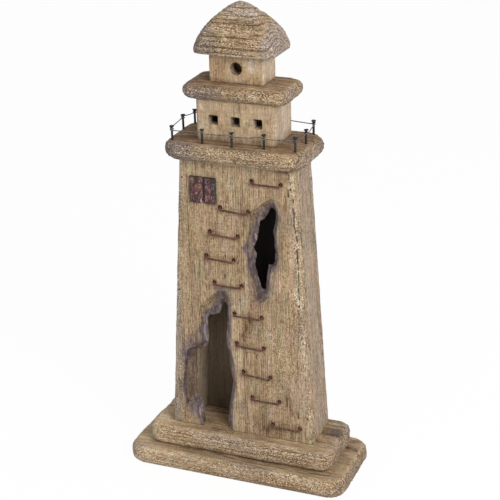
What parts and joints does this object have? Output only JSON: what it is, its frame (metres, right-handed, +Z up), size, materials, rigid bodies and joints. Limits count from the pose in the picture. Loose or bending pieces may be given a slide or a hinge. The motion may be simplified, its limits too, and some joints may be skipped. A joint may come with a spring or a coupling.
{
  "type": "garden lighthouse ornament",
  "caption": "Tall flat-sided wooden lighthouse on a stepped plinth, with a broken doorway, a wire ladder, a railed gallery and a domed roof.",
  "frame": {"origin": "middle of the lower plinth's underside, on the ground", "axes": "+Z up along the tower; +X to the right seen from the front; the front, with the doorway, faces -Y"},
  "size_m": [0.247, 0.104, 0.5],
  "materials": {
    "weathered_wood": "sand-blasted, dry and scuffed",
    "dowel_wood": "plain turned",
    "maroon_paint": "worn matte paint on wood",
    "iron_nail": "blackened",
    "rusty_wire": "brown rust",
    "grey_wire": "dull zinc"
  },
  "bodies": {
    "root": {"base_plinth_lower": "weathered_wood", "base_plinth_upper": "weathered_wood", "base_screws": "iron_nail", "gallery_deck": "weathered_wood", "gallery_dowels": "dowel_wood", "ladder_rung_01": "rusty_wire", "ladder_rung_02": "rusty_wire", "ladder_rung_03": "rusty_wire", "ladder_rung_04": "rusty_wire", "ladder_rung_05": "rusty_wire", "ladder_rung_06": "rusty_wire", "ladder_rung_07": "rusty_wire", "ladder_rung_08": "rusty_wire", "ladder_rung_09": "rusty_wire", "ladder_rung_10": "rusty_wire", "lantern_dowels": "dowel_wood", "lantern_room_back_board": "weathered_wood", "lantern_room_front_board": "weathered_wood", "lantern_room_left_board": "weathered_wood", "lantern_room_right_board": "weathered_wood", "rail_post_01": "iron_nail", "rail_post_02": "iron_nail", "rail_post_03": "iron_nail", "rail_post_04": "iron_nail", "rail_post_05": "iron_nail", "rail_post_06": "iron_nail", "rail_post_07": "iron_nail", "rail_post_08": "iron_nail", "rail_post_09": "iron_nail", "rail_post_10": "iron_nail", "rail_post_11": "iron_nail", "rail_post_12": "iron_nail", "railing_wire": "grey_wire", "roof": "weathered_wood", "roof_dowels": "dowel_wood", "shutter_left": "maroon_paint", "shutter_right": "maroon_paint", "tower_back_board": "weathered_wood", "tower_brads": "iron_nail", "tower_front_board": "weathered_wood", "tower_left_board": "weathered_wood", "tower_right_board": "weathered_wood", "upper_deck": "weathered_wood", "upper_deck_dowels": "dowel_wood", "watch_room_back_board": "weathered_wood", "watch_room_dowels": "dowel_wood", "watch_room_front_board": "weathered_wood", "watch_room_left_board": "weathered_wood", "watch_room_right_board": "weathered_wood"}
  },
  "joints": []
}
